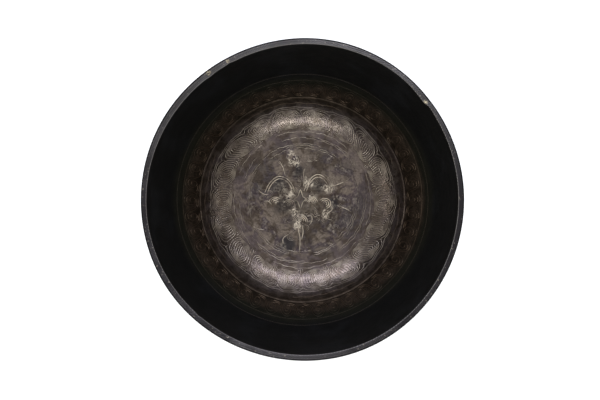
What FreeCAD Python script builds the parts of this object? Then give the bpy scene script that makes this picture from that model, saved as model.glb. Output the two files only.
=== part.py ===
import FreeCAD, Part
import math
import os
import Sketcher

# Singing bowl: hammered and turned from one piece of bell metal, so it is one node with no joints.
# Millimetres, +Z up.  The bowl is round about Z and stands on the XY plane, so the origin is the
# centre of its foot.

SIZES = {
    "rim_radius": 100.0,        # outside of the lip
    "bowl_height": 95.0,
    "foot_radius": 33.0,        # the flat that the bowl stands on
    "knuckle_radius": 50.0,     # outside curve from the foot into the side
    "side_radius": 155.0,       # outside curve of the flaring side
    "wall_thickness": 2.6,
    "lip_width": 3.7,           # the lip is thicker than the wall, on the inside
    "lip_depth": 3.0,           # straight inner face of the lip
    "lip_taper": 4.0,           # height over which the lip thins down to the wall
    "lip_round": 0.6,           # worn corners of the lip
    "line_radius": 0.45,        # section of a turned line, centred on the wall's surface
    "inner_line_upper": 83.3,   # distances of the inside lines from the axis
    "inner_line_middle": 80.0,
    "inner_line_lower": 70.2,
    "outer_line_upper": 87.0,   # heights of the outside lines
    "outer_line_lower": 84.5,
}
INNER_LINES = ("inner_line_upper", "inner_line_middle", "inner_line_lower")
OUTER_LINES = ("outer_line_upper", "outer_line_lower")

ORIGIN = (-1, 1)                # the sketch origin, as a geometry index and a point number
START, END, CENTRE = 1, 2, 3    # point numbers of a line or an arc
UP = FreeCAD.Vector(0, 0, 1)
QUARTER_TURN_BACK = -math.pi / 2
TOLERANCE = 1e-4                # mm
LEAST_CUT = 1.0                 # mm3; a groove that takes away less than this has missed the wall

doc = FreeCAD.newDocument("singing_bowl")


def make_sheet():
    sheet = doc.addObject("Spreadsheet::Sheet", "Sizes")
    for row, (alias, value) in enumerate(SIZES.items(), start=1):
        sheet.set(f"A{row}", alias.replace("_", " "))
        sheet.set(f"B{row}", str(value))
        sheet.setAlias(f"B{row}", alias)
    doc.recompute()
    return sheet


def size(alias):
    return float(sheet.get(alias))


def new_sketch(body, name):
    """An empty sketch on the body's own upright plane: across is X, up is Z."""
    sketch = body.newObject("Sketcher::SketchObject", name)
    plane = next(f for f in body.Origin.OriginFeatures if f.Role == "XZ_Plane")
    sketch.AttachmentSupport = [(plane, "")]
    sketch.MapMode = "FlatFace"
    return sketch


def drive(sketch, name, expression, kind, *where):
    """A dimension whose value follows the sheet."""
    index = sketch.addConstraint(Sketcher.Constraint(kind, *where))
    sketch.renameConstraint(index, name)
    sketch.setExpression(f"Constraints.{name}", expression)


def measure(sketch, name, kind, *where):
    """A dimension that only reports, for other sketches to follow."""
    index = sketch.addConstraint(Sketcher.Constraint(kind, *where))
    sketch.setDriving(index, False)
    sketch.renameConstraint(index, name)


def arc(centre, radius, start, end):
    return Part.ArcOfCircle(Part.Circle(centre, UP, radius), start, end)


def angle_to(centre, point):
    return math.atan2(point.y - centre.y, point.x - centre.x)


def side_centre():
    """Centre of the side curve, which touches the knuckle curve and ends at the rim."""
    knuckle = FreeCAD.Vector(size("foot_radius"), size("knuckle_radius"), 0)
    rim = FreeCAD.Vector(size("rim_radius"), size("bowl_height"), 0)
    reach = size("side_radius") - size("knuckle_radius")
    span = (rim - knuckle).Length
    along = (rim - knuckle) / span
    across = FreeCAD.Vector(-along.y, along.x, 0)
    forward = (reach ** 2 - size("side_radius") ** 2 + span ** 2) / (2 * span)
    return knuckle + along * forward + across * math.sqrt(reach ** 2 - forward ** 2)


def on_side(radius, height):
    """The point of a side curve of this radius at this height."""
    centre = side_centre()
    return FreeCAD.Vector(centre.x + math.sqrt(radius ** 2 - (height - centre.y) ** 2), height, 0)


def draw_wall(body):
    """Half of the bowl's section: foot, outside, lip, inside, floor and axis."""
    sketch = new_sketch(body, "wall_section")
    rim, top, foot = size("rim_radius"), size("bowl_height"), size("foot_radius")
    thick, knuckle, side = size("wall_thickness"), size("knuckle_radius"), size("side_radius")
    lip_inside = rim - size("lip_width")
    lip_bottom = top - size("lip_depth")

    low, high = FreeCAD.Vector(foot, knuckle, 0), side_centre()
    meet = angle_to(high, low)
    taper_end = on_side(side - thick, lip_bottom - size("lip_taper"))
    foot_end, rim_corner = FreeCAD.Vector(foot, 0, 0), FreeCAD.Vector(rim, top, 0)
    lip_corner, lip_foot = FreeCAD.Vector(lip_inside, top, 0), FreeCAD.Vector(lip_inside, lip_bottom, 0)
    floor_end, floor_middle = FreeCAD.Vector(foot, thick, 0), FreeCAD.Vector(0, thick, 0)

    outline = (
        Part.LineSegment(FreeCAD.Vector(), foot_end),
        arc(low, knuckle, QUARTER_TURN_BACK, meet),
        arc(high, side, meet, angle_to(high, rim_corner)),
        Part.LineSegment(rim_corner, lip_corner),
        Part.LineSegment(lip_corner, lip_foot),
        Part.LineSegment(lip_foot, taper_end),
        arc(high, side - thick, meet, angle_to(high, taper_end)),
        arc(low, knuckle - thick, QUARTER_TURN_BACK, meet),
        Part.LineSegment(floor_end, floor_middle),
        Part.LineSegment(floor_middle, FreeCAD.Vector()),
    )
    (base, outer_knuckle, outer_side, lip_top, lip_face, taper,
     inner_side, inner_knuckle, floor, axis) = (sketch.addGeometry(edge, False) for edge in outline)

    smooth = ((base, END, outer_knuckle, START), (outer_knuckle, END, outer_side, START),
              (inner_side, START, inner_knuckle, END), (inner_knuckle, START, floor, START))
    joined = ((outer_side, END, lip_top, START), (lip_top, END, lip_face, START),
              (lip_face, END, taper, START), (taper, END, inner_side, END),
              (floor, END, axis, START), (axis, END, base, START), (base, START, *ORIGIN),
              (inner_side, CENTRE, outer_side, CENTRE), (inner_knuckle, CENTRE, outer_knuckle, CENTRE))
    sketch.addConstraint([Sketcher.Constraint("Tangent", *ends) for ends in smooth])
    sketch.addConstraint([Sketcher.Constraint("Coincident", *ends) for ends in joined])
    sketch.addConstraint([Sketcher.Constraint("Horizontal", edge) for edge in (base, lip_top, floor)])
    sketch.addConstraint([Sketcher.Constraint("Vertical", edge) for edge in (lip_face, axis)])

    drive(sketch, "foot", "Sizes.foot_radius", "DistanceX", *ORIGIN, base, END, foot)
    drive(sketch, "rim", "Sizes.rim_radius", "DistanceX", *ORIGIN, outer_side, END, rim)
    drive(sketch, "height", "Sizes.bowl_height", "DistanceY", *ORIGIN, outer_side, END, top)
    drive(sketch, "knuckle", "Sizes.knuckle_radius", "Radius", outer_knuckle, knuckle)
    drive(sketch, "side", "Sizes.side_radius", "Radius", outer_side, side)
    drive(sketch, "floor_thickness", "Sizes.wall_thickness", "DistanceY", *ORIGIN, axis, START, thick)
    drive(sketch, "lip_width", "Sizes.lip_width", "DistanceX", lip_top, END, lip_top, START,
          size("lip_width"))
    drive(sketch, "lip_depth", "Sizes.lip_depth", "DistanceY", lip_face, END, lip_face, START,
          size("lip_depth"))
    drive(sketch, "lip_taper", "Sizes.lip_taper", "DistanceY", taper, END, taper, START,
          size("lip_taper"))
    measure(sketch, "side_centre_across", "DistanceX", outer_side, CENTRE, *ORIGIN, -high.x)
    measure(sketch, "side_centre_up", "DistanceY", *ORIGIN, outer_side, CENTRE, high.y)
    return sketch


def turn(body, kind, name, sketch):
    """Turns a sketch all the way round the bowl's axis, as a solid or as a cut."""
    feature = body.newObject(kind, name)
    feature.Profile = sketch
    feature.ReferenceAxis = (sketch, ["V_Axis"])
    feature.Angle = 360
    doc.recompute()
    return feature


def lip_edges(shape):
    """Names of the two round edges at the top of the lip."""
    names = []
    for number, edge in enumerate(shape.Edges, start=1):
        if all(abs(vertex.Point.z - size("bowl_height")) < TOLERANCE for vertex in edge.Vertexes):
            names.append(f"Edge{number}")
    return names


def cut_lines(body, name, aliases, radius, radius_expression, direction):
    """Round-bottomed lines turned into one face of the side, each where its cell says."""
    sketch = new_sketch(body, name + "_section")
    centre = side_centre()
    wall = sketch.addGeometry(Part.Circle(centre, UP, radius), True)
    drive(sketch, "wall", radius_expression, "Radius", wall, radius)
    drive(sketch, "wall_across", "wall_section.Constraints.side_centre_across",
          "DistanceX", wall, CENTRE, *ORIGIN, -centre.x)
    drive(sketch, "wall_up", "wall_section.Constraints.side_centre_up",
          "DistanceY", *ORIGIN, wall, CENTRE, centre.y)
    for alias in aliases:
        if direction == "DistanceY":
            middle = on_side(radius, size(alias))
        else:
            drop = math.sqrt(radius ** 2 - (size(alias) - centre.x) ** 2)
            middle = FreeCAD.Vector(size(alias), centre.y - drop, 0)
        line = sketch.addGeometry(Part.Circle(middle, UP, size("line_radius")), False)
        sketch.addConstraint(Sketcher.Constraint("PointOnObject", line, CENTRE, wall))
        drive(sketch, alias + "_section", "Sizes.line_radius", "Radius", line, size("line_radius"))
        drive(sketch, alias, "Sizes." + alias, direction, *ORIGIN, line, CENTRE, size(alias))
    before = body.Tip.Shape.Volume
    groove = turn(body, "PartDesign::Groove", name, sketch)
    if groove.Shape.Volume > before - LEAST_CUT:
        raise RuntimeError(name + " cut nothing")


def make_bowl():
    body = doc.addObject("PartDesign::Body", "Bowl")
    body.Label = "bowl"
    wall = turn(body, "PartDesign::Revolution", "wall", draw_wall(body))
    rounds = body.newObject("PartDesign::Fillet", "worn_lip")
    rounds.Base = (wall, lip_edges(wall.Shape))
    rounds.setExpression("Radius", "Sizes.lip_round")
    doc.recompute()
    cut_lines(body, "inner_lines", INNER_LINES, size("side_radius") - size("wall_thickness"),
              "Sizes.side_radius - Sizes.wall_thickness", "DistanceX")
    cut_lines(body, "outer_lines", OUTER_LINES, size("side_radius"), "Sizes.side_radius", "DistanceY")
    return body


def check(bodies):
    for item in doc.Objects:
        if "Invalid" in item.State or "Error" in item.State:
            raise RuntimeError(f"{item.Name} failed: {item.State}")
    for sketch in doc.findObjects("Sketcher::SketchObject"):
        if not sketch.FullyConstrained:
            raise RuntimeError(sketch.Name + " has loose geometry")
    for body in bodies:
        if body.Shape.isNull() or not body.Shape.isValid() or len(body.Shape.Solids) != 1:
            raise RuntimeError(body.Label + " is not one sound solid")


sheet = make_sheet()
bodies = [make_bowl()]
doc.recompute()
check(bodies)
os.makedirs("parts", exist_ok=True)
for body in bodies:
    body.Shape.exportStep(f"parts/{body.Label}.step")
    box = body.Shape.optimalBoundingBox()
    print(f"{body.Label}: {box.XLength:.2f} x {box.YLength:.2f} x {box.ZLength:.2f} mm, "
          f"{body.Shape.Volume / 1000:.1f} cm3")
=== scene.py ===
import math

import bpy
import numpy as np
from bpy.props import FloatProperty, FloatVectorProperty, IntProperty, PointerProperty
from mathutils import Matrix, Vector
from mathutils.bvhtree import BVHTree


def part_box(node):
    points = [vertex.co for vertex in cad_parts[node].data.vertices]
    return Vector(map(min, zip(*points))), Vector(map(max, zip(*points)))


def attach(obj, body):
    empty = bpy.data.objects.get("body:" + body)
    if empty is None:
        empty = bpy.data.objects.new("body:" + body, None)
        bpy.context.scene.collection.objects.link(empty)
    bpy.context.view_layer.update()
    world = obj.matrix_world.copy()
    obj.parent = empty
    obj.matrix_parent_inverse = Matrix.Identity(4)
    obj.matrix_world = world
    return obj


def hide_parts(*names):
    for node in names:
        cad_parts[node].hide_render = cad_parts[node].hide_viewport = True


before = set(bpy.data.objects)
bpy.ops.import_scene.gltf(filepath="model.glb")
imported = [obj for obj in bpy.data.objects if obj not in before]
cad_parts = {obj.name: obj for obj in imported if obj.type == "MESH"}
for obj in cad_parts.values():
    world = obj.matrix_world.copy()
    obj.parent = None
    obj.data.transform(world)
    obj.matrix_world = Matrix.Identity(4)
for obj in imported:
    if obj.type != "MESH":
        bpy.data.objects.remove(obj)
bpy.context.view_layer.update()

bl_info = {
    "name": "Singing bowl",
    "version": (1, 0, 0),
    "blender": (4, 5, 0),
    "location": "3D View > Sidebar > Bowl",
    "description": "A hand-hammered bell-metal bowl with etched ornament inside",
    "category": "Object",
}

LOWEST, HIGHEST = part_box("bowl")
MM = 0.001
FULL_TURN = 2 * math.pi
SEED = 7        # for the random strokes and wear, the same on every run


# ---------------------------------------------------------------- sizes and colours

def length(name, description, default):
    return FloatProperty(name=name, description=description, default=default, min=0, unit="LENGTH",
                         subtype="DISTANCE", precision=5)


def colour(name, description, default):
    return FloatVectorProperty(name=name, description=description, default=default, size=3, min=0,
                               max=1, subtype="COLOR")


class BowlSizes(bpy.types.PropertyGroup):
    """Sizes of the bowl itself"""
    rim_radius: length("Rim radius", "Outside of the lip", (HIGHEST.x - LOWEST.x) / 2)
    height: length("Height", "From the foot to the top of the lip", HIGHEST.z)
    foot_radius: length("Foot radius", "Flat that the bowl stands on", 33 * MM)
    knuckle_radius: length("Knuckle radius", "Outside curve from the foot into the side", 50 * MM)
    side_radius: length("Side radius", "Outside curve of the flaring side", 155 * MM)
    wall: length("Wall", "Thickness of the metal", 2.6 * MM)
    lip_width: length("Lip width", "Width of the flat top of the lip", 3.7 * MM)
    lip_depth: length("Lip depth", "Straight inner face of the lip", 3 * MM)
    lip_taper: length("Lip taper", "Height over which the lip thins down", 4 * MM)
    lip_round: length("Lip rounding", "Worn corners of the lip", 0.7 * MM)
    hammer_mark: length("Hammer mark", "Width of one hammer mark", 12.5 * MM)
    hammer_depth: length("Hammer depth", "Depth of the hammer marks outside", 1.0 * MM)
    columns: IntProperty(name="Columns", description="Steps round the bowl", default=420, min=60)


class OrnamentSizes(bpy.types.PropertyGroup):
    """Sizes of the etched ornament inside the bowl"""
    line_width: length("Line width", "Width of an etched line", 0.58 * MM)
    line_height: length("Line height", "How proud the lines stand", 0.2 * MM)
    eyes: IntProperty(name="Eyes", description="Eyes round the swirl ring", default=18, min=3)
    scrolls: IntProperty(name="Scrolls", description="Scrolls round the wall band", default=44,
                         min=3)


class BowlColours(bpy.types.PropertyGroup):
    """Colours of the metal"""
    soot: colour("Soot", "Blackened upper wall", (0.0038, 0.0038, 0.0037))
    smoke: colour("Smoke", "Paler smudges on the upper wall", (0.0075, 0.0078, 0.0085))
    olive: colour("Olive", "Dark green-brown above the scroll band", (0.013, 0.0125, 0.0085))
    umber: colour("Umber", "Brown ground of the scroll band", (0.074, 0.054, 0.039))
    bark: colour("Bark", "Darker patches in the scroll band", (0.042, 0.031, 0.022))
    pewter: colour("Pewter", "Grey-brown floor", (0.255, 0.207, 0.172))
    violet: colour("Violet", "Purple tarnish on the floor", (0.1, 0.077, 0.086))
    mauve: colour("Mauve", "Dull star in the middle of the floor", (0.17, 0.14, 0.125))
    slate: colour("Slate", "Blue-black tarnish on the floor", (0.056, 0.051, 0.054))
    straw: colour("Straw", "Worn pale brass", (0.98, 0.86, 0.7))
    brass: colour("Brass", "Fresh metal in the nicks of the lip", (0.62, 0.53, 0.36))
    rubbed: colour("Rubbed bronze", "Raised lines where hands rub them", (0.42, 0.355, 0.29))
    copper: colour("Copper brown", "Raised lines of the scroll band", (0.24, 0.165, 0.11))
    lip_grey: colour("Lip grey", "Filed top of the lip", (0.078, 0.073, 0.077))
    # also the painted shade at the sides of the lip's top
    lip_tarnish_and_shade: colour("Dark lip grey", "Tarnish on the lip", (0.024, 0.022, 0.024))
    # also used as a painted highlight on the far side of the lip's top
    burnish_and_sheen: colour("Burnish", "Inner edge of the lip, rubbed by the striker", (0.36, 0.34, 0.33))
    hide: colour("Outside brown", "Dark patina outside", (0.07, 0.05, 0.033))
    hide_dark: colour("Outside dark", "Darker clouds outside", (0.04, 0.03, 0.021))
    bronze: colour("Bronze", "Rubbed ridges, rim band and foot outside", (0.24, 0.165, 0.092))


def sizes():
    return bpy.context.scene.bowl_sizes


def ornament():
    return bpy.context.scene.ornament_sizes


def colours():
    return bpy.context.scene.bowl_colours


# ---------------------------------------------------------------- the bowl's section

class Section:
    """Half of the bowl's section: a flat foot, a knuckle curve and a side curve, at any depth."""

    def __init__(self, bowl):
        self.foot = bowl.foot_radius
        self.low = np.array([bowl.foot_radius, bowl.knuckle_radius])
        self.low_radius = bowl.knuckle_radius
        self.high_radius = bowl.side_radius
        rim = np.array([bowl.rim_radius, bowl.height])
        reach = bowl.side_radius - bowl.knuckle_radius
        span = np.linalg.norm(rim - self.low)
        along = (rim - self.low) / span
        across = np.array([-along[1], along[0]])
        forward = (reach ** 2 - bowl.side_radius ** 2 + span ** 2) / (2 * span)
        self.high = self.low + along * forward + across * math.sqrt(reach ** 2 - forward ** 2)
        meet = self.low - self.high
        self.meet = math.atan2(meet[1], meet[0])

    def walk(self, depth, positions):
        """Points and outward normals at distances along the face this deep in the wall."""
        knuckle = self.low_radius - depth
        side = self.high_radius - depth
        knuckle_length = knuckle * (self.meet + math.pi / 2)
        points, normals = [], []
        for place in positions:
            if place < self.foot:
                normal = np.array([0.0, -1.0])
                points.append(np.array([place, depth]))
            elif place < self.foot + knuckle_length:
                angle = (place - self.foot) / knuckle - math.pi / 2
                normal = np.array([math.cos(angle), math.sin(angle)])
                points.append(self.low + normal * knuckle)
            else:
                angle = (place - self.foot - knuckle_length) / side + self.meet
                normal = np.array([math.cos(angle), math.sin(angle)])
                points.append(self.high + normal * side)
            normals.append(normal)
        return np.array(points), np.array(normals)

    def table(self, depth):
        """Distances along a face, with the points and the outward normals there."""
        past_the_rim = self.foot + self.low_radius * 1.2 + self.high_radius * 0.6
        places = np.linspace(0, past_the_rim, 3000)
        points, normals = self.walk(depth, places)
        return places, points, normals

    def at_radius(self, depth, radius):
        places, points, _ = self.table(depth)
        return np.interp(radius, points[:, 0], places)

    def at_height(self, depth, height):
        places, points, _ = self.table(depth)
        rising = places > self.foot
        return np.interp(height, points[rising, 1], places[rising])

    def normal_inside(self, depth, radii):
        """Unit normals of the inner face, pointing into the hollow, for each radius."""
        places, points, normals = self.table(depth)
        across = np.interp(radii, points[:, 0], -normals[:, 0])
        up = np.interp(radii, points[:, 0], -normals[:, 1])
        size = np.hypot(across, up)
        return across / size, up / size


TURNED_WIDTH = 0.45 * MM                            # half the width of a turned line
TURNED_DEPTH = 0.22 * MM
TURNED_STEPS = (-1.2, -0.7, 0, 0.7, 1.2)            # points across a turned line, in half widths
INNER_LINES = (83.3 * MM, 80.0 * MM, 70.2 * MM)     # distances of the inside lines from the axis
OUTER_LINES = (87.0 * MM, 84.5 * MM)                # heights of the outside lines
OUTLINE_STEP = 1.65 * MM
QUARTER = (0.0, 0.25, 0.5, 0.75, 1.0)


def face_points(section, depth, lines, end, cut):
    """Points along one face, closer together where a turned line dips into it. The cut is one on
    the outside and minus one on the inside, where the metal lies the other way."""
    places = np.linspace(0, end, int(end / OUTLINE_STEP))
    for line in lines:
        places = places[abs(places - line) > 1.5 * TURNED_WIDTH]
    dips = [line + share * TURNED_WIDTH for line in lines for share in TURNED_STEPS]
    places = np.sort(np.concatenate([places, dips]))
    points, normals = section.walk(depth, places)
    for line in lines:
        hollow = np.clip(1 - ((places - line) / TURNED_WIDTH) ** 2, 0, 1)
        points = points - normals * (hollow * TURNED_DEPTH * cut)[:, None]
    return points


def rounded(across, up, radius, start):
    """Points of a quarter turn about the middle of a rounded corner."""
    for share in QUARTER:
        angle = share * math.pi / 2 + start
        yield across + radius * math.cos(angle), up + radius * math.sin(angle)


def lip_points(bowl):
    """The lip, from its outer corner to the foot of its inner face."""
    turn = bowl.lip_round
    outer, inner, top = bowl.rim_radius, bowl.rim_radius - bowl.lip_width, bowl.height
    points = list(rounded(outer - turn, top - turn, turn, 0))
    for share in QUARTER[1:-1]:
        points.append((outer - turn + share * (inner - outer + 2 * turn), top))
    points += rounded(inner + turn, top - turn, turn, math.pi / 2)
    points.append((inner, top - bowl.lip_depth))
    return np.array(points)


def bowl_outline(section, bowl):
    """The closed half section, from the middle of the foot round the lip to the middle inside."""
    outer_end = section.at_height(0, bowl.height - bowl.lip_round) - OUTLINE_STEP / 2
    outer_lines = [section.at_height(0, line) for line in OUTER_LINES]
    outside = face_points(section, 0, outer_lines, outer_end, 1)
    inner_end = section.at_height(bowl.wall, bowl.height - bowl.lip_depth - bowl.lip_taper)
    inner_lines = [section.at_radius(bowl.wall, line) for line in INNER_LINES]
    inside = face_points(section, bowl.wall, inner_lines, inner_end, -1)
    return np.concatenate([outside, lip_points(bowl), inside[::-1]])


# ---------------------------------------------------------------- making pieces

def deselect():
    for item in bpy.context.selected_objects:
        item.select_set(False)


def choose(piece):
    deselect()
    piece.select_set(True)
    bpy.context.view_layer.objects.active = piece


def new_mesh(name, vertices, edges=(), faces=()):
    mesh = bpy.data.meshes.new(name)
    mesh.from_pydata([tuple(v) for v in vertices], list(edges), [tuple(f) for f in faces])
    piece = bpy.data.objects.new(name, mesh)
    bpy.context.scene.collection.objects.link(piece)
    choose(piece)
    return piece


def coordinates(piece):
    flat = np.empty(len(piece.data.vertices) * 3)
    piece.data.vertices.foreach_get("co", flat)
    return flat.reshape(-1, 3)


def settle(piece):
    """Says which body the piece rides on."""
    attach(piece, "root")


def smooth_step(low, high, value):
    share = np.clip((value - low) / (high - low), 0, 1)
    return share * share * (3 - 2 * share)


def waves(angle, table):
    """Waves round the rim, in millimetres."""
    return sum(size * np.cos(times * (angle - math.radians(crest))) for size, times, crest in table)


def degrees_from(angle, place):
    """How far round from a place each angle is, either way."""
    return np.degrees(np.angle(np.exp(1j * (angle - math.radians(place)))))


def marks(angle, table):
    """Short marks round the rim, in millimetres."""
    return sum(size * np.exp(-(degrees_from(angle, place) / spread) ** 2)
               for size, place, spread in table)


def burr(angle, size, place, rise, fall):
    """One mark that grows slowly towards its place and drops quickly after it."""
    apart = degrees_from(angle, place)
    return size * np.exp(-(apart / np.where(apart > 0, rise, fall)) ** 2)


def keep_value(piece, name, values):
    """Stores a number for each vertex, for the finishes to read."""
    kept = piece.data.attributes.new(name, "FLOAT", "POINT")
    kept.data.foreach_set("value", values)


def looks_inward(normal, place, bowl):
    """Whether a place on the shell faces the hollow."""
    return normal.dot(Vector((0, 0, bowl.height)) - place) > 0


HAMMERED_INSIDE = 0.16      # share of the outside's depth that shows inside
HAMMER_LEVEL = 0.45         # height in a hammer mark that stays on the turned surface
PLAIN_RIM = (12 * MM, 8 * MM)       # the marks fade out between these depths below the rim
PLAIN_FOOT = (8 * MM, 14 * MM)      # and from this far inside the foot's edge to this far outside


def hammer_weights(bowl_piece, bowl, points, radius):
    """How deep the hammer marks go at each vertex, from nothing to one."""
    weights = np.array([HAMMERED_INSIDE if looks_inward(vertex.normal, vertex.co, bowl) else 1.0
                        for vertex in bowl_piece.data.vertices])
    fade_low, fade_high = (bowl.height - depth for depth in PLAIN_RIM)
    weights *= 1 - smooth_step(fade_low, fade_high, points[:, 2])
    under = weights > 0.5
    foot_low, foot_high = bowl.foot_radius - PLAIN_FOOT[0], bowl.foot_radius + PLAIN_FOOT[1]
    weights[under] *= smooth_step(foot_low, foot_high, radius[under])
    return weights


def hammer(bowl_piece, bowl):
    """Hammer marks: cups that meet in soft ridges, deep outside and faint inside."""
    points = coordinates(bowl_piece)
    radius = np.hypot(points[:, 0], points[:, 1])
    keep_value(bowl_piece, "turned_radius", radius)
    normals = np.array([vertex.normal for vertex in bowl_piece.data.vertices])
    group = bowl_piece.vertex_groups.new(name="hammered")
    for index, weight in enumerate(hammer_weights(bowl_piece, bowl, points, radius)):
        group.add([index], float(weight), "REPLACE")
    texture = bpy.data.textures.new("hammer_marks", "VORONOI")
    texture.distance_metric = "DISTANCE_SQUARED"
    texture.noise_scale = bowl.hammer_mark
    choose(bowl_piece)
    displace = bowl_piece.modifiers.new("hammer_marks", "DISPLACE")
    displace.texture = texture
    displace.texture_coords = "LOCAL"
    displace.vertex_group = "hammered"
    displace.mid_level = HAMMER_LEVEL
    displace.strength = bowl.hammer_depth
    bpy.ops.object.modifier_apply(modifier="hammer_marks")
    bowl_piece.vertex_groups.clear()
    moved = coordinates(bowl_piece)
    depth = np.sum((moved - points) * normals, axis=1)
    keep_value(bowl_piece, "hammer_mark", depth / bowl.hammer_depth)
    moved[:, 2] = np.maximum(moved[:, 2], 0)
    bowl_piece.data.vertices.foreach_set("co", moved.ravel())


# Waves round the rim: size in millimetres, waves to a turn, and where one peaks in degrees,
# or is lowest where its size is below zero
OUTER_WAVES = ((0.3, 3, -52), (0.13, 5, 2), (0.1, 2, 16))
INNER_WAVES = ((0.46, 3, -55), (0.26, 2, 22), (-0.22, 1, 180))
TOP_WAVES = ((0.22, 2, 35), (0.12, 5, 70), (0.08, 9, 12))
TOP_WEAR = 0.25             # how much the file took off the top, in millimetres
# Marks on the lip: size in millimetres, then place and spread in degrees
KNOCKS = ((0.35, 127, 1.6),)
NICKS = ((0.25, 35, 2.5), (0.4, 118, 1.2), (0.4, 228, 1))
DENTS = ((0.4, 38.5, 2), (0.4, 127, 1.5), (0.3, 118, 1.2))
BURR = (0.85, 38.5, 7, 1.2)         # size, place, and degrees of rise and of fall
LIP_ZONE = (9 * MM, 3 * MM)         # depths below the rim between which the lip's own waves set in
TOP_ZONE = (4 * MM, 0.5 * MM)       # and between which its nicks and dents do


def work_lip(bowl_piece, bowl):
    """The bowl is a little out of round, and its lip has been filed, knocked and nicked."""
    points = coordinates(bowl_piece)
    radius = np.hypot(points[:, 0], points[:, 1])
    angle = np.arctan2(points[:, 1], points[:, 0])
    near_top = smooth_step(bowl.height * 0.45, bowl.height, points[:, 2])
    outer_shift, inner_shift = waves(angle, OUTER_WAVES), waves(angle, INNER_WAVES)
    middle = bowl.rim_radius - bowl.lip_width / 2
    inward = 1 - smooth_step(middle - bowl.lip_width / 2, middle + bowl.lip_width / 2, radius)
    lip_only = smooth_step(bowl.height - LIP_ZONE[0], bowl.height - LIP_ZONE[1], points[:, 2])
    shift = outer_shift * near_top + (inner_shift - outer_shift) * inward * lip_only
    burrs = burr(angle, *BURR) + marks(angle, KNOCKS)
    top_only = smooth_step(bowl.height - TOP_ZONE[0], bowl.height - TOP_ZONE[1], points[:, 2])
    shift = shift + (marks(angle, NICKS) - burrs) * inward * top_only
    lift = (waves(angle, TOP_WAVES) - TOP_WEAR) * near_top - marks(angle, DENTS) * top_only
    scale = 1 + shift * MM / np.maximum(radius, 1 * MM)
    points[:, 0] *= scale
    points[:, 1] *= scale
    points[:, 2] += lift * MM
    bowl_piece.data.vertices.foreach_set("co", points.ravel())
    bowl_piece.data.update()


def paint_faces(bowl_piece, bowl, finishes):
    """Gives the inside, the lip and the outside their own finishes, in that order."""
    for finish in finishes:
        bowl_piece.data.materials.append(finish)
    lip_line = bowl.height - bowl.lip_round * 1.9
    for face in bowl_piece.data.polygons:
        if face.center.z > lip_line:
            face.material_index = 1
        elif looks_inward(face.normal, face.center, bowl):
            face.material_index = 0
        else:
            face.material_index = 2


class BOWL_OT_shell(bpy.types.Operator):
    """Spins the bowl from its section, hammers it and works its lip"""
    bl_idname = "bowl.shell"
    bl_label = "Bowl"

    def execute(self, context):
        bowl = sizes()
        outline = bowl_outline(Section(bowl), bowl)
        corners = [(across, 0, up) for across, up in outline]
        edges = [(index, index + 1) for index in range(len(corners) - 1)]
        piece = new_mesh("bowl_shell", corners, edges)
        bpy.ops.object.mode_set(mode="EDIT")
        bpy.ops.mesh.select_all(action="SELECT")
        bpy.ops.mesh.spin(steps=bowl.columns, angle=FULL_TURN, center=(0, 0, 0), axis=(0, 0, 1))
        bpy.ops.mesh.select_all(action="SELECT")
        bpy.ops.mesh.remove_doubles(threshold=1e-6)
        bpy.ops.mesh.normals_make_consistent(inside=False)
        bpy.ops.object.mode_set(mode="OBJECT")
        hammer(piece, bowl)
        paint_faces(piece, bowl, (inside_finish(), lip_finish(), outside_finish()))
        work_lip(piece, bowl)
        choose(piece)
        bpy.ops.object.shade_smooth_by_angle(angle=math.radians(50))
        settle(piece)
        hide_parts("bowl")
        return {"FINISHED"}


# ---------------------------------------------------------------- etched lines

# Points across a ribbon, in widths and heights of the line
LINE_PROFILE = ((-0.5, -1.0), (-0.4, 0.62), (0.0, 1.0), (0.4, 0.62), (0.5, -1.0))
LINE_FADE = 3.0             # widths over which an open line fades at its ends
BOSS_TOP = 0.72             # how much of a raised plate is flat
LOOK_DOWN_FROM = 0.3        # metres, above the bowl


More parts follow.
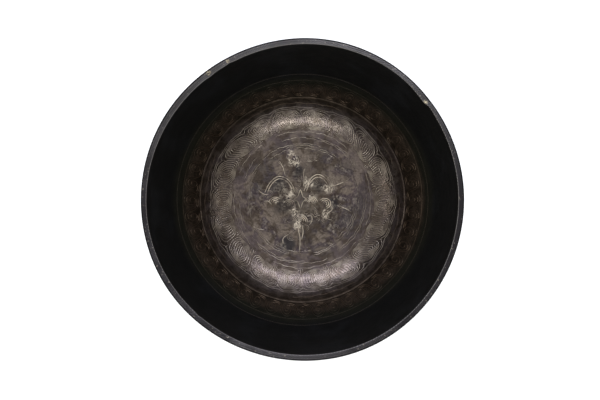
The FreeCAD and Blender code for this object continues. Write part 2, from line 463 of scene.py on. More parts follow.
class Etching:
    """Low rounded ribbons gathered into one piece. They are laid point by point, so that they stay
    thin and evenly proud of the hammered metal."""

    def __init__(self, seed):
        bowl = sizes()
        self.section = Section(bowl)
        self.wall = bowl.wall
        self.tree = BVHTree.FromObject(bpy.data.objects["bowl_shell"],
                                       bpy.context.evaluated_depsgraph_get())
        self.random = np.random.default_rng(seed)
        self.vertices, self.faces = [], []
        self.count = 0

    def on_wall(self, across, along):
        """Points on the shell, straight below these plan positions."""
        down = Vector((0, 0, -1))
        return np.array([self.tree.ray_cast(Vector((x, y, LOOK_DOWN_FROM)), down)[0]
                         for x, y in zip(across, along)])

    def line(self, x, y, width, height, closed=False):
        """One etched line along plan points; open ends fade over some widths."""
        plan = np.column_stack([x, y])
        radius = np.hypot(x, y)
        centre = self.on_wall(x, y)
        normal_across, normal_up = self.section.normal_inside(self.wall, radius)
        away = plan / np.maximum(radius, 1e-6)[:, None]
        normals = np.column_stack([away * normal_across[:, None], normal_up])
        if closed:
            ahead = np.roll(centre, -1, axis=0) - np.roll(centre, 1, axis=0)
        else:
            ahead = np.gradient(centre, axis=0)
        ahead /= np.maximum(np.linalg.norm(ahead, axis=1), 1e-9)[:, None]
        side = np.cross(normals, ahead)
        side /= np.maximum(np.linalg.norm(side, axis=1), 1e-9)[:, None]
        steps = np.linalg.norm(np.diff(centre, axis=0), axis=1)
        travelled = np.concatenate([[0], np.cumsum(steps)])
        size = np.ones(len(x))
        if not closed:
            reach = np.minimum(travelled, travelled[-1] - travelled) / (LINE_FADE * width)
            size = 0.25 + 0.75 * np.sqrt(np.clip(reach, 0, 1))
        phase = self.random.uniform(0, FULL_TURN, 3)
        hand = (1 + 0.1 * np.sin(travelled / (3 * MM) + phase[0])
                + 0.08 * np.sin(travelled / (1.1 * MM) + phase[1]))
        rings = []
        for across, up in LINE_PROFILE:
            lift = up * height * (size if up > 0 else 1)
            rings.append(centre + side * (across * width * size * hand)[:, None]
                         + normals * (lift * np.ones(len(x)))[:, None])
        self.add(np.stack(rings, axis=1), closed)

    def add(self, block, closed):
        """Joins rings of points into a tube, with its ends shut or run together."""
        steps, around, _ = block.shape
        first = self.count
        self.vertices.append(block.reshape(-1, 3))
        self.count += steps * around
        last = steps if closed else steps - 1
        for step in range(last):
            here = first + step * around
            there = first + ((step + 1) % steps) * around
            for corner in range(around):
                beside = (corner + 1) % around
                self.faces.append((here + corner, here + beside, there + beside, there + corner))
        if not closed:
            self.faces.append(tuple(first + corner for corner in reversed(range(around))))
            end = first + (steps - 1) * around
            self.faces.append(tuple(end + corner for corner in range(around)))

    def polar(self, radius, angle, width, height, closed=False):
        """A line given as distances from the axis and angles."""
        self.line(radius * np.cos(angle), radius * np.sin(angle), width, height, closed)

    def plan(self, path, width, height):
        """A line given in millimetres across the floor."""
        points = spaced(np.array(path) * MM, step=0.45 * MM)
        self.line(points[:, 0], points[:, 1], width, height)

    def ring(self, radius, width, height):
        """A whole ring about the axis."""
        step = 0.75 * MM
        count = int(FULL_TURN * radius / step)
        angle = np.linspace(0, FULL_TURN, count, endpoint=False)
        self.polar(np.full(count, radius), angle, width, height, True)

    def boss(self, outline, middle, height):
        """A low raised plate with this outline (millimetres)."""
        outer = np.array(outline) * MM
        centre = np.array([middle]) * MM
        inner = centre + (outer - centre) * BOSS_TOP
        plan = np.concatenate([outer, inner, centre, centre])
        points = self.on_wall(plan[:, 0], plan[:, 1])
        count = len(outer)
        points[:count, 2] -= height
        points[count:2 * count + 1, 2] += height
        points[-1, 2] -= height
        self.vertices.append(points)
        first, top, bottom = self.count, self.count + 2 * count, self.count + 2 * count + 1
        self.count += len(points)
        for index in range(count):
            ahead = (index + 1) % count
            inside, inside_ahead = first + count + index, first + count + ahead
            self.faces.append((first + index, first + ahead, inside_ahead, inside))
            self.faces.append((inside, inside_ahead, top))
            self.faces.append((first + ahead, first + index, bottom))

    def finish(self, name, finish):
        """Makes the piece from all the lines laid so far."""
        piece = new_mesh(name, np.concatenate(self.vertices), (), self.faces)
        bpy.ops.object.mode_set(mode="EDIT")
        bpy.ops.mesh.select_all(action="SELECT")
        bpy.ops.mesh.normals_make_consistent(inside=False)
        bpy.ops.object.mode_set(mode="OBJECT")
        piece.data.materials.append(finish)
        bpy.ops.object.shade_smooth_by_angle(angle=math.radians(70))
        settle(piece)


def spaced(points, step):
    """The same line with points an even step apart."""
    points = np.array(points)
    steps = np.linalg.norm(np.diff(points, axis=0), axis=1)
    travelled = np.concatenate([[0], np.cumsum(steps)])
    count = max(4, int(travelled[-1] / step) + 1)
    places = np.linspace(0, travelled[-1], count)
    return np.column_stack([np.interp(places, travelled, points[:, axis]) for axis in (0, 1)])


EYE_RADIUS = 55.6 * MM      # middle of the ring of eyes
EYE_LOOPS = 6               # nested lines in one eye
EYE_PUPIL = 2.8 * MM        # half height of the smallest loop
EYE_REACH = 5.8 * MM        # half height of the largest loop, towards the middle of the bowl
EYE_OUTWARD = 1.1           # how much further the loops reach on the outer side
EYE_SQUARE = 0.7            # under 1 makes the loops squarer than an oval
# Short lines in the gaps between two eyes: place beside the gap in pitches, and the two ends in mm
GAP_LINES = ((0, -6.6, -3.4), (-0.9, -6.6, -4.8), (0.9, -6.6, -4.8), (0, 3.9, 6.2))
GAP_POINTS = 10
BORDERS = ((7.3, 1.7), (8.3, 0.5))      # mm outward of the eyes, and mm of dip into a gap
BORDER_DIP = 1.7 * MM                   # half the width of a dip
INNER_BORDER = 47.6                     # mm


class BOWL_OT_swirl_ring(bpy.types.Operator):
    """Etches the ring of nested eyes on the curve between the floor and the side"""
    bl_idname = "bowl.swirl_ring"
    bl_label = "Swirl ring"

    def execute(self, context):
        art = ornament()
        etching = Etching(SEED)
        cell = FULL_TURN * EYE_RADIUS / art.eyes
        pitch = cell / 2 / EYE_LOOPS
        phases = etching.random.uniform(0, FULL_TURN, 6)
        for eye in range(art.eyes):
            for loop in range(EYE_LOOPS):
                wide = (loop + 0.5) * pitch
                tall = EYE_PUPIL + (EYE_REACH - EYE_PUPIL) * loop / (EYE_LOOPS - 1)
                path = spaced(eye_loop(wide, tall), step=0.5 * MM)[:-1]
                angle, radius = swayed(eye * cell + path[:, 0], path[:, 1], phases)
                etching.polar(radius, angle, art.line_width, art.line_height, True)
            for beside, low, high in GAP_LINES:
                along = np.full(GAP_POINTS, (eye + 0.5) * cell + beside * pitch)
                across = np.linspace(low, high, GAP_POINTS) * MM
                angle, radius = swayed(along, across, phases)
                etching.polar(radius, angle, art.line_width, art.line_height)
        along = np.arange(0, FULL_TURN * EYE_RADIUS, 0.6 * MM)
        from_gap = np.mod(along, cell) - cell / 2
        for outward, dip in BORDERS:
            across = outward - dip * np.exp(-(from_gap / BORDER_DIP) ** 2)
            angle, radius = swayed(along, across * MM, phases)
            etching.polar(radius, angle, art.line_width * 0.8, art.line_height * 0.6, True)
        worn_ring(etching, INNER_BORDER, 30, art.line_width * 0.7, art.line_height * 0.3)
        etching.finish("swirl_ring", line_finish("swirl_bronze", 0.3, 0.42))
        return {"FINISHED"}


def eye_loop(wide, tall):
    """A closed squarish oval; the wide way runs along the ring."""
    turns = np.linspace(0, FULL_TURN, 121)
    along, across = np.cos(turns), np.sin(turns)
    outward = np.where(across > 0, EYE_OUTWARD, 1)
    return np.column_stack([wide * np.sign(along) * abs(along) ** EYE_SQUARE,
                            tall * outward * np.sign(across) * abs(across) ** EYE_SQUARE])


def swayed(along, across, phases):
    """Angle and radius of a place in the ring, which leans and drifts a little, unevenly."""
    turn = along / EYE_RADIUS
    lean = 0.35 + 0.3 * np.sin(4 * turn + phases[0])
    drift = 0.9 * np.sin(5 * turn + phases[1]) + 0.6 * np.sin(11 * turn + phases[2])
    ripple = 0.3 * np.sin(across / (2.1 * MM) + 13 * turn + phases[3])
    rise = (0.5 * np.sin(7 * turn + phases[4])
            + 0.25 * np.sin(31 * turn + across / (2.6 * MM) + phases[5]))
    moved = along + lean * across + (drift + ripple) * MM
    return moved / EYE_RADIUS, EYE_RADIUS + across + rise * MM


SCROLL_RADIUS = 74.7 * MM               # middle of the scroll band
SCROLL_UNDER = 66.6                     # worn ring under the band, in mm
SCROLL_OVER = (80.0, 83.3)              # and the two whole rings over it
SCROLL_CURL = (3.5, 0.9)                # reach of the winding line at its start and its end, in mm
SCROLL_WIND = (180, -330)               # angles between which it winds, in degrees
BACKING_SIZE = (4.5, 4.4)               # half width and half height of the line behind it, in mm
BACKING_WIND = (180, 20)


class BOWL_OT_scroll_band(bpy.types.Operator):
    """Etches the band of running scrolls on the lower wall"""
    bl_idname = "bowl.scroll_band"
    bl_label = "Scroll band"

    def execute(self, context):
        art = ornament()
        etching = Etching(SEED + 1)
        cell = FULL_TURN * SCROLL_RADIUS / art.scrolls
        for scroll in range(art.scrolls):
            turn = FULL_TURN * scroll / art.scrolls
            size = 1 + 0.07 * etching.random.uniform(-1, 1)
            nudge = 0.5 * MM * etching.random.uniform(-1, 1)
            for points in scroll_lines(cell / MM):
                path = spaced(points * MM * size, step=0.55 * MM)
                along, across = path[:, 0] + nudge, path[:, 1]
                etching.polar(SCROLL_RADIUS + across, turn + along / SCROLL_RADIUS,
                              art.line_width * 0.8, art.line_height * 0.7)
        worn_ring(etching, SCROLL_UNDER, 40, art.line_width * 0.5, art.line_height * 0.2)
        for radius in SCROLL_OVER:
            etching.ring(radius * MM, art.line_width * 0.55, art.line_height * 0.3)
        etching.finish("scroll_band", line_finish("scroll_bronze", 0.0, 1.0, "copper"))
        return {"FINISHED"}


def scroll_rise(start, length, depth):
    """The rise into a scroll: almost level at first, then steep."""
    run = np.linspace(0, 1, 14)[:-1]
    return np.column_stack([start + run * length, -depth + depth * run ** 5])


def scroll_lines(cell):
    """A running scroll, in millimetres: a line rises from the foot of its neighbour and winds in,
    and a second line backs it."""
    turns = np.radians(np.linspace(*SCROLL_WIND, 60))
    reach = np.linspace(*SCROLL_CURL, len(turns))
    wound = np.column_stack([reach * np.cos(turns), reach * np.sin(turns)])
    yield np.concatenate([scroll_rise(-cell - 0.4, cell - 3.1, 3.6), wound])
    turns = np.radians(np.linspace(*BACKING_WIND, 24))
    backing = np.column_stack([BACKING_SIZE[0] * np.cos(turns), BACKING_SIZE[1] * np.sin(turns)])
    yield np.concatenate([scroll_rise(-cell + 0.6, cell - 5.1, 2.7), backing])


FLOOR_RINGS = (36.4, 37.9, 39.2, 43.2, 44.4)        # mm
FLOOR_STROKES = 46


class BOWL_OT_floor_rings(bpy.types.Operator):
    """Etches the worn rings round the floor and the small strokes inside them"""
    bl_idname = "bowl.floor_rings"
    bl_label = "Floor rings"

    def execute(self, context):
        art = ornament()
        etching = Etching(SEED + 2)
        for radius in FLOOR_RINGS:
            worn_ring(etching, radius, 70, art.line_width * 0.8, art.line_height * 0.6)
        for _ in range(FLOOR_STROKES):
            reach, turn = etching.random.uniform(6, 34), etching.random.uniform(0, FULL_TURN)
            middle = (reach * math.cos(turn), reach * math.sin(turn))
            begin = etching.random.uniform(0, 360)
            for radius in (1.5, 2.6)[:etching.random.integers(1, 3)]:
                end = begin + etching.random.uniform(70, 200)
                etching.plan(round_line(middle, radius, begin, end, 0.8), art.line_width * 0.9,
                             art.line_height * 0.8)
        etching.finish("floor_rings", line_finish("floor_bronze", 0.25, 0.42))
        return {"FINISHED"}


class BOWL_OT_floor_motif(bpy.types.Operator):
    """Etches the scroll motif in the middle of the floor"""
    bl_idname = "bowl.floor_motif"
    bl_label = "Floor motif"

    def execute(self, context):
        art = ornament()
        etching = Etching(SEED + 3)
        for path in motif_lines():
            etching.plan(path, art.line_width * 1.2, art.line_height * 1.2)
        etching.finish("floor_motif", line_finish("motif_brass", 1.0, 1.0))
        star = Etching(SEED + 4)
        star.boss(star_outline()[:-1], STAR_MIDDLE, art.line_height)
        star.finish("floor_star", plain_finish("star_mauve", colours().mauve))
        return {"FINISHED"}


def worn_ring(etching, radius, gap, width, height):
    """A ring (radius in mm) worn into wavering arcs; the gap is the widest one, in degrees."""
    begin = etching.random.uniform(0, 360)
    last = begin + 330
    while begin < last:
        end = min(begin + etching.random.uniform(18, 80), last)
        angle = np.radians(np.arange(begin, end + 4, 0.7))
        wobble = 0.3 * np.sin(angle * 9 + radius) + 0.22 * np.sin(angle * 37 + begin)
        etching.polar((radius + wobble) * MM, angle, width, height)
        begin = end + etching.random.uniform(4, gap)


def round_line(centre, radius, start, end, squash=1.0):
    """Part of a circle or an oval, from one angle to another in degrees."""
    angle = np.radians(np.linspace(start, end, 30))
    return np.column_stack([centre[0] + radius * np.cos(angle),
                            centre[1] + radius * squash * np.sin(angle)])


def drawn(points):
    """A smooth line through a few given points, by cutting the corners three times."""
    points = np.array(points, dtype=float)
    for _ in range(3):
        ahead, behind = points[1:], points[:-1]
        cut = np.stack([behind * 0.75 + ahead * 0.25, behind * 0.25 + ahead * 0.75], axis=1)
        points = np.concatenate([points[:1], cut.reshape(-1, 2), points[-1:]])
    return points


def arch(x, y, half, tall):
    """A rounded arch standing on two feet."""
    return drawn([(x - half * 1.12, y - 1.2), (x - half * 0.86, y + tall * 0.5),
                  (x - half * 0.3, y + tall * 1.08), (x + half * 0.3, y + tall * 1.04),
                  (x + half * 0.86, y + tall * 0.5), (x + half, y - 1.0)])


def fan(x, y, radii, start, end):
    """Nested arcs, like the ribs of a shell."""
    for radius in radii:
        yield round_line((x, y), radius, start, end, 0.85)


STAR_MIDDLE = (-1.4, 0.4)
STAR_TALL, STAR_WIDE, STAR_WAIST = 7.0, 4.6, 2.5


def star_outline():
    """A small hollow-sided star with four long points, as a closed line."""
    reaches = (STAR_TALL, STAR_WAIST, STAR_WIDE, STAR_WAIST) * 2 + (STAR_TALL,)
    turns = np.linspace(0, FULL_TURN, len(reaches))
    return [(STAR_MIDDLE[0] + reach * math.sin(turn), STAR_MIDDLE[1] + reach * math.cos(turn))
            for reach, turn in zip(reaches, turns)]


def motif_lines():
    """A pointed star between two arches, shells under them, and a stem; sizes in millimetres."""
    yield star_outline()
    for shrink in (1.0, 0.83):
        yield arch(-15.3, 6.2, 9.8 * shrink, 9.6 * shrink)
        yield arch(11.2, 7.2, 9.0 * shrink, 9.8 * shrink)
    yield round_line((11.2, 8.6), 9.7, 62, -22)
    yield from fan(-19.0, -1.8, (1.6, 2.9, 4.2), 185, 40)
    yield from fan(-9.2, -3.2, (1.4, 2.6, 3.8), 160, -15)
    yield from fan(5.8, -2.0, (1.4, 2.5, 3.6, 4.7), 165, 5)
    yield from fan(15.6, -2.6, (1.5, 2.8, 4.2), 140, -75)
    yield from fan(-1.6, -14.8, (1.4, 2.6, 3.8, 5.0), 192, -12)
    yield drawn([(20.5, -4.2), (21, -7.5), (17.5, -9), (16.5, -14)])
    yield drawn([(3.2, -11.5), (6.5, -11), (7, -14.5), (5, -17.5)])
    yield drawn([(-1.6, -16.5), (-3.2, -21), (-1.4, -26), (-2, -37)])
    yield drawn([(-0.4, -17.5), (0.8, -22), (-0.6, -28)])
    yield drawn([(-4, -19), (-8, -23.5), (-14, -26.5), (-13.4, -31)])
    yield drawn([(-16, 27), (-13.2, 22), (-12, 16.5)])
    yield drawn([(-10, 29), (-7, 28), (-5, 25.5), (-2.4, 26.5), (-3, 29.5)])
    yield drawn([(0.6, 9.5), (1.6, 13.5), (0.4, 18), (1.8, 22)])
    yield drawn([(-34, -19), (-30, -20.8), (-26.5, -21)])
    yield drawn([(24, -4), (28, -5.2), (33, -7.6)])
    yield drawn([(21, 9.5), (26, 11), (33, 14.6)])
    yield drawn([(-24, 3.5), (-28, 4), (-31, 7)])
    yield drawn([(-27, -1.2), (-24, -0.6), (-21.5, -3.2)])


# ---------------------------------------------------------------- finishes

class Value:
    """A number that changes over a surface; sums on it add Math nodes."""

    def __init__(self, board, socket):
        self.board = board
        self.socket = socket

    def math(self, operation, *others, first=None):
        terms = [self if first is None else first, *others]
        return self.board.node("Math", {"operation": operation}, dict(enumerate(terms)))

    def __add__(self, other):
        return self.math("ADD", other)

    def __sub__(self, other):
        return self.math("SUBTRACT", other)

    def __rsub__(self, other):
        return self.math("SUBTRACT", self, first=other)

    def __mul__(self, other):
        return self.math("MULTIPLY", other)

    def __truediv__(self, other):
        return self.math("DIVIDE", other)

    def __pow__(self, other):
        return self.math("POWER", other)

    __radd__ = __add__
    __rmul__ = __mul__

    def clamp(self):
        return self.board.node("Clamp", {}, {0: self})

    def ramp(self, low, high, start=0.0, end=1.0):
        """Smoothly from start to end as the value goes from low to high."""
        return self.board.node("MapRange", {"interpolation_type": "SMOOTHSTEP"},
                               {0: self, 1: low, 2: high, 3: start, 4: end})


class Finish:
    """A material with one metal shader, and the nodes that vary it."""

    def __init__(self, name):
        self.material = bpy.data.materials.new(name)
        self.material.use_nodes = True
        self.tree = self.material.node_tree
        self.shader = self.tree.nodes["Principled BSDF"]

    def node(self, kind, settings=None, inputs=None, out=0):
        made = self.tree.nodes.new("ShaderNode" + kind)
        for name, value in (settings or {}).items():
            setattr(made, name, value)
        for name, value in (inputs or {}).items():
            self.feed(made.inputs[name], value)
        return Value(self, made.outputs[out])

    def feed(self, socket, value):
        if isinstance(value, Value):
            self.tree.links.new(value.socket, socket)
        elif socket.type == "RGBA":
            socket.default_value = (*value, 1)
        else:
            socket.default_value = value

    def position(self):
        return self.node("TexCoord", out=3)

    def axes(self):
        place = self.position()
        return [self.node("SeparateXYZ", {}, {0: place}, out) for out in range(3)]

    def kept(self, name):
        """A number stored on the vertices."""
        return self.node("Attribute", {"attribute_name": name}, out=2)

    def near(self, axes, place, reach, ragged=0.0):
        """One within a reach of a place (millimetres), fading to nothing past a ragged edge."""
        across, along = (axes[0] / MM - place[0]), (axes[1] / MM - place[1])
        return ((across * across + along * along) ** 0.5 + ragged).ramp(reach, reach * 0.3)

    def noise(self, scale, detail=4.0, rough=0.55, twist=0.0):
        return self.node("TexNoise", {}, {"Vector": self.position(), "Scale": scale,
                                          "Detail": detail, "Roughness": rough,
                                          "Distortion": twist})

    def blend(self, share, first, second):
        """A colour between two colours."""
        return self.node("Mix", {"data_type": "RGBA"}, {0: share, 6: first, 7: second}, out=2)

    def bump(self, height, distance, strength, under=None):
        inputs = {"Strength": strength, "Distance": distance, "Height": height}
        if under is not None:
            inputs["Normal"] = under
        return self.node("Bump", {}, inputs)

    def shade(self, **inputs):
        for name, value in inputs.items():
            self.feed(self.shader.inputs[name.replace("_", " ")], value)
        return self.material


# Patches on the floor: where the middle is and how far it reaches, in millimetres
WORN_PLACES = ((-7, 27, 6.5), (16.5, -9.5, 5), (17.5, 8, 4.5), (-8, 3.5, 4.5), (3, 11, 4.5),
               (-5, -8.5, 3.6), (-2, -18, 4.5), (-19, -2, 3.6), (7, 0.5, 3))
DARK_PLACES = ((-1.4, 0.4, 6), (-15, 9, 8), (11, 9.5, 7), (-10, -31, 8), (-14, -4, 8),
               (22, -2, 7), (-4, 20, 6))
# Bands inside the bowl: heights where one starts to take over and where it has, in millimetres
UMBER_BAND = (12.5, 21.5)
OLIVE_BAND = (29, 37)
SOOT_BAND = (37, 48)
BAND_RAGGED = 8             # how far the noise moves the bands' edges, in millimetres
BAND_SHADE_TILT = 0.01            # painted light: how much higher they lie for each millimetre to the right, so the right side stays paler
BAND_SHADE_WARP = 0.0005          # painted shade and light: and how much lower at front and back, per square millimetre, so front and back are darker and the sides paler
PATCH_RAGGED = 14           # how far the noise moves the patches' edges, in millimetres


def patina(finish):
    """The tarnish inside: mottled on the floor, umber on the lower wall, soot above. Returns the
    colour, the height it follows, and the noises that the relief and the gloss follow."""
    tint = colours()
    axes = finish.axes()
    radius = (axes[0] * axes[0] + axes[1] * axes[1]) ** 0.5 / MM
    cloud = finish.noise(34, 5)
    blotch = finish.noise(75, 6, 0.6, 1.0)
    smear = finish.noise(130, 5, 0.6, 0.6)
    fleck = finish.noise(330, 5, 0.65, 1.5)
    # the tilt and the warp paint light and shade into the bands: paler on the right and at the
    # sides, darker at front and back
    height = axes[2] / MM + (cloud - 0.5) * BAND_RAGGED - axes[0] / MM * BAND_SHADE_TILT
    height = height + (axes[1] * axes[1] - axes[0] * axes[0]) / MM ** 2 * BAND_SHADE_WARP
    mottle = (blotch.ramp(0.45, 0.55) - 0.5) * radius.ramp(48, 32, 0.4, 1.0) + 0.5
    ground = finish.blend(mottle, tint.pewter, tint.violet)
    ground = finish.blend(cloud.ramp(0.49, 0.6) * radius.ramp(50, 36, 0.2, 0.5), ground, tint.slate)
    ground = finish.blend(smear.ramp(0.48, 0.58) * 0.65, ground, tint.umber)
    ragged = (smear - 0.5) * PATCH_RAGGED
    dark = 0.0
    for across, along, reach in DARK_PLACES:
        dark = finish.near(axes, (across, along), reach, ragged) + dark
    ground = finish.blend(dark.clamp() * 0.95, ground, tint.slate)
    ground = finish.blend(radius.ramp(26, 12) * 0.4, ground, tint.umber)
    worn = blotch.ramp(0.5, 0.66) * 0.3 + radius.ramp(24, 10) * 0.12
    for across, along, reach in WORN_PLACES:
        worn = finish.near(axes, (across, along), reach, ragged) + worn
    vein = (finish.noise(150, 3, 0.55, 1.2) - 0.5).math("ABSOLUTE").ramp(0.045, 0.0)
    crinkle = fleck.ramp(0.47, 0.56) * 0.8 + vein * 0.5
    worn = worn.clamp() * crinkle.clamp() * radius.ramp(44, 34)
    ground = finish.blend(worn, ground, tint.straw)
    ring = radius.ramp(48, 50) * radius.ramp(64, 62)
    ground = finish.blend(ring * 0.38, ground, tint.umber)
    brown = finish.blend(smear.ramp(0.4, 0.62), tint.umber, tint.bark)
    ground = finish.blend(height.ramp(*UMBER_BAND), ground, brown)
    ground = finish.blend(height.ramp(*OLIVE_BAND), ground, tint.olive)
    smudged = finish.blend(cloud.ramp(0.5, 0.62) * 0.6, tint.soot, tint.smoke)
    ground = finish.blend(height.ramp(*SOOT_BAND), ground, smudged)
    return ground, height, blotch, smear


STROKES_ACROSS = 0.9        # fine strokes per millimetre of radius
STROKES_ROUND = 7           # and per radian


def inside_brush(finish):
    """Fine strokes that run round the bowl."""
    axes = finish.axes()
    radius = (axes[0] * axes[0] + axes[1] * axes[1]) ** 0.5 / MM
    angle = axes[1].math("ARCTAN2", axes[0])
    strokes = finish.node("CombineXYZ", {}, {0: radius * STROKES_ACROSS, 1: angle * STROKES_ROUND})
    return finish.node("TexNoise", {}, {"Vector": strokes, "Scale": 1.0, "Detail": 3})


def inside_finish():
    finish = Finish("inside_patina")
    ground, height, blotch, smear = patina(finish)
    brush = inside_brush(finish)
    grain = finish.noise(800, 3, 0.6)
    ground = finish.blend(grain.ramp(0.4, 0.65, 0.0, 0.3), ground, (0, 0, 0))
    ground = finish.blend(brush.ramp(0.45, 0.65, 0.0, 0.22), ground, (0, 0, 0))
    roughness = height.ramp(8, 34, 0.24, 0.6) + (blotch - 0.5) * 0.2
    relief = finish.bump(grain, 0.06 * MM, 0.5)
    relief = finish.bump(brush, 0.12 * MM, 0.5, relief)
    relief = finish.bump(smear, 0.3 * MM, 0.4, relief)
    metal = height.ramp(26, 46, 0.9, 0.0)
    return finish.shade(Base_Color=ground, Metallic=metal, Roughness=roughness,
                        Specular_IOR_Level=0.08, Normal=relief)


SCRATCHES_ROUND = 330       # radians of the scratches' wave per radian round the lip
SCRATCHES_ACROSS = 4.6      # and per millimetre across it, so that they slant
SCRATCHES_BEND = 9          # and how far the noise bends them
SIDE_SHADE = 3.5            # painted shade: how much darker the right side of the lip is than the left, per metre
# Fresh nicks in the lip: where, and how far each reaches, in millimetres
CHIPS = ((76.0, 60.2, 2.6), (-58.2, 78.2, 2.4), (-46.5, 85.6, 1.4))
# Distances from the axis across the lip, in millimetres, before it went out of round
INNER_EDGE = (96.75, 96.4)
GROOVE = ((97.6, 97.9), (98.3, 98.0))
OUTER_EDGE = (98.8, 99.3)


def lip_finish():
    finish = Finish("filed_lip")
    tint = colours()
    axes = finish.axes()
    radius = finish.kept("turned_radius") / MM
    angle = axes[1].math("ARCTAN2", axes[0])
    cloud = finish.noise(60, 5)
    grain = finish.noise(700, 3)
    scratches = (angle * SCRATCHES_ROUND + radius * SCRATCHES_ACROSS
                 + cloud * SCRATCHES_BEND).math("SINE")
    shade = finish.blend(cloud.ramp(0.42, 0.6), tint.lip_grey, tint.lip_tarnish_and_shade)
    shade = finish.blend(scratches.ramp(-0.2, 0.9) * 0.7, shade, tint.lip_tarnish_and_shade)
    # painted shade: the lip's top is darkened at its left and right sides, most at the right
    squared = axes[0] * axes[0]
    painted_side_shade = squared / (squared + axes[1] * axes[1]) + axes[0] * SIDE_SHADE
    shade = finish.blend((painted_side_shade * 0.82).clamp(), shade, tint.lip_tarnish_and_shade)
    # painted highlight: the far side of the lip's top is lightened towards the burnished colour, as
    # if lit
    shade = finish.blend((axes[1] * 1.8).clamp(), shade, tint.burnish_and_sheen)
    shade = finish.blend(grain.ramp(0.62, 0.72) * 0.2, shade, tint.straw)
    shade = finish.blend(radius.ramp(*INNER_EDGE) * 0.45, shade, tint.burnish_and_sheen)
    groove = radius.ramp(*GROOVE[0]) * radius.ramp(*GROOVE[1])
    shade = finish.blend(groove * 0.5, shade, tint.lip_tarnish_and_shade)
    shade = finish.blend(radius.ramp(*OUTER_EDGE), shade, tint.soot)
    chips = 0.0
    for across, along, reach in CHIPS:
        chips = finish.near(axes, (across, along), reach, (cloud - 0.5) * 6) + chips
    shade = finish.blend(chips.clamp() * grain.ramp(0.4, 0.55) * 0.7, shade, tint.brass)
    relief = finish.bump(scratches * 0.6 + grain, 0.12 * MM, 0.9)
    return finish.shade(Base_Color=shade, Metallic=0.9, Roughness=0.42, Normal=relief)


RIM_BAND = (88.2, 89.4)             # heights over which the paler band starts, in millimetres
FOOT_RUB = ((29, 33), (39, 34))     # distances from the axis over which the rubbed foot fades


def outside_finish():
    finish = Finish("outside_patina")
    tint = colours()
    axes = finish.axes()
    mark = finish.kept("hammer_mark")
    radius = finish.kept("turned_radius") / MM
    height = axes[2] / MM
    cloud = finish.noise(20, 6, 0.6, 0.5)
    blotch = finish.noise(90, 6, 0.65, 0.8)
    grain = finish.noise(700, 4, 0.6)
    ground = finish.blend(cloud.ramp(0.38, 0.62), tint.hide, tint.hide_dark)
    ridge = (mark + (blotch - 0.5) * 0.5).ramp(-0.3, 0.15)
    ground = finish.blend(ridge * 0.17, ground, tint.bronze)
    ground = finish.blend(blotch.ramp(0.46, 0.32) * 0.4, ground, tint.soot)
    band = (height + (blotch - 0.5) * 3).ramp(*RIM_BAND)
    foot = radius.ramp(*FOOT_RUB[0]) * radius.ramp(*FOOT_RUB[1])
    ground = finish.blend((band * 0.35 + foot * 0.4).clamp(), ground, tint.bronze)
    ground = finish.blend(grain.ramp(0.4, 0.62, 0.0, 0.25), ground, tint.soot)
    roughness = 0.24 + (blotch - 0.4).clamp() * 0.5 + grain * 0.08
    relief = finish.bump(grain, 0.06 * MM, 0.5)
    relief = finish.bump(blotch, 0.3 * MM, 0.4, relief)
    return finish.shade(Base_Color=ground, Metallic=0.92, Roughness=roughness, Normal=relief)


def plain_finish(name, shade):
    """Dull tarnished metal of one colour."""
    finish = Finish(name)
    cloud = finish.noise(300, 4)
    shade = finish.blend(cloud.ramp(0.4, 0.6) * 0.5, shade, colours().soot)
    relief = finish.bump(cloud, 0.1 * MM, 0.5)
    return finish.shade(Base_Color=shade, Metallic=0.9, Roughness=0.4, Normal=relief)


def line_finish(name, wear, polish, worn_to="rubbed"):
    """Metal of the etched lines: a little brighter than the tarnish, rubbed pale where it wears."""
    finish = Finish(name)
    tint = colours()
    ground, height, _, smear = patina(finish)
    low = height.ramp(7, 16, 1.0, 0.35) * height.ramp(29, 35, 1.0, 0.3)
    polished = smear.ramp(0.3, 0.55, 0.5, 1.0) * low * polish
    shade = finish.blend(polished, ground, getattr(tint, worn_to))
    share = finish.noise(150, 5).ramp(0.4, 0.56) * low * wear
    shade = finish.blend(share, shade, tint.straw)
    relief = finish.bump(finish.noise(500, 3), 0.04 * MM, 0.4)
    metal = height.ramp(30, 46, 0.9, 0.2)
    return finish.shade(Base_Color=shade, Metallic=metal, Roughness=0.34, Specular_IOR_Level=0.2,
                        Normal=relief)


# ---------------------------------------------------------------- stage

# The soft lights: place and size in metres, power in watts, tint
SOFTBOXES = {
    "softbox_back": ((0, 0.81, 0.7), (1.25, 0.19), 7.6, (0.79, 0.84, 1.0)),
    "softbox_front": ((0, -0.8, 0.7), (0.85, 0.08), 3.3, (0.92, 0.98, 1.0)),
    "softbox_left": ((-0.85, 0, 0.36), (0.5, 0.36), 3.0, (1.0, 0.98, 0.95)),
    "softbox_right": ((0.85, 0, 0.36), (0.5, 0.36), 1.8, (1.0, 0.98, 0.95)),
}
LIGHTS_AIM = Vector((0, 0, 0.03))
CAMERA_ABOVE = 0.7                              # metres from the mouth of the bowl
CAMERA_VIEW = 0.3705                            # metres across the picture at the mouth
CAMERA_PLACE = (-1.67 * MM, -0.2 * MM)          # the camera isn't quite over the middle
CAMERA_SENSOR = 36                              # mm


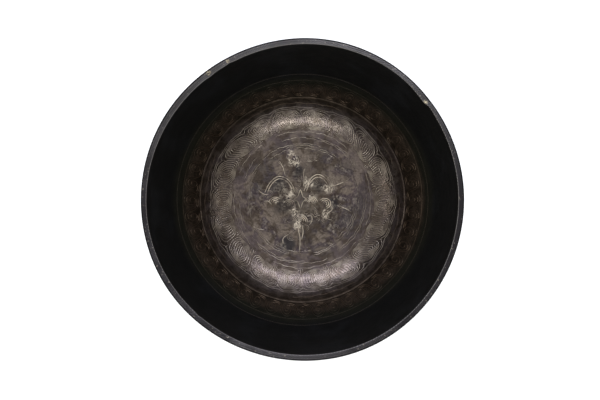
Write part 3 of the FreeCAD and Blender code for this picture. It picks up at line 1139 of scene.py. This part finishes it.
class BOWL_OT_stage(bpy.types.Operator):
    """Sets the pale floor, the soft studio light and the camera"""
    bl_idname = "bowl.stage"
    bl_label = "Stage"

    def execute(self, context):
        scene = context.scene
        scene.view_settings.view_transform = "Standard"
        world = bpy.data.worlds.new("studio")
        scene.world = world
        world.use_nodes = True
        world.node_tree.nodes["Background"].inputs["Color"].default_value = (1, 1, 1, 1)
        world.node_tree.nodes["Background"].inputs["Strength"].default_value = 0.75
        deselect()
        bpy.ops.mesh.primitive_plane_add(size=6, location=(0, 0, 0))
        floor = context.object
        floor.name = "studio_floor"
        paper = Finish("white_paper")
        paper.shade(Base_Color=(0.92, 0.92, 0.92), Roughness=0.8, Emission_Color=(1, 1, 1),
                    Emission_Strength=0.25)
        floor.data.materials.append(paper.material)
        for name, light in SOFTBOXES.items():
            softbox(name, *light)
        top_camera()
        return {"FINISHED"}


def softbox(name, place, size, power, tint):
    """A rectangular light turned towards the bowl."""
    light = bpy.data.lights.new(name, "AREA")
    light.shape = "RECTANGLE"
    light.size, light.size_y = size
    light.energy = power
    light.color = tint
    lamp = bpy.data.objects.new(name, light)
    bpy.context.scene.collection.objects.link(lamp)
    lamp.location = place
    aim = LIGHTS_AIM - Vector(place)
    lamp.rotation_euler = aim.to_track_quat("-Z", "Y").to_euler()


def top_camera():
    """Straight above the mouth."""
    camera = bpy.data.cameras.new("camera")
    camera.sensor_width = CAMERA_SENSOR
    camera.lens = camera.sensor_width * CAMERA_ABOVE / CAMERA_VIEW
    holder = bpy.data.objects.new("camera", camera)
    bpy.context.scene.collection.objects.link(holder)
    holder.location = (*CAMERA_PLACE, sizes().height + CAMERA_ABOVE)
    bpy.context.scene.camera = holder


class BOWL_PT_panel(bpy.types.Panel):
    """Sizes, colours and steps of the singing bowl"""
    bl_idname = "BOWL_PT_panel"
    bl_label = "Singing bowl"
    bl_space_type = "VIEW_3D"
    bl_region_type = "UI"
    bl_category = "Bowl"

    def draw(self, context):
        for group in GROUPS:
            box = self.layout.box()
            settings = getattr(context.scene, group)
            for name in type(settings).__annotations__:
                box.prop(settings, name)
        for step in STEPS:
            self.layout.operator(step.bl_idname)


GROUPS = {"bowl_sizes": BowlSizes, "ornament_sizes": OrnamentSizes, "bowl_colours": BowlColours}
STEPS = (BOWL_OT_shell, BOWL_OT_swirl_ring, BOWL_OT_scroll_band, BOWL_OT_floor_rings,
         BOWL_OT_floor_motif, BOWL_OT_stage)


def register():
    for name, group in GROUPS.items():
        bpy.utils.register_class(group)
        setattr(bpy.types.Scene, name, PointerProperty(type=group))
    for step in (*STEPS, BOWL_PT_panel):
        bpy.utils.register_class(step)


def unregister():
    for step in reversed((*STEPS, BOWL_PT_panel)):
        bpy.utils.unregister_class(step)
    for name, group in GROUPS.items():
        delattr(bpy.types.Scene, name)
        bpy.utils.unregister_class(group)


def main():
    register()
    bpy.ops.bowl.shell()
    bpy.ops.bowl.swirl_ring()
    bpy.ops.bowl.scroll_band()
    bpy.ops.bowl.floor_rings()
    bpy.ops.bowl.floor_motif()
    bpy.ops.bowl.stage()


if __name__ == "__main__":
    main()
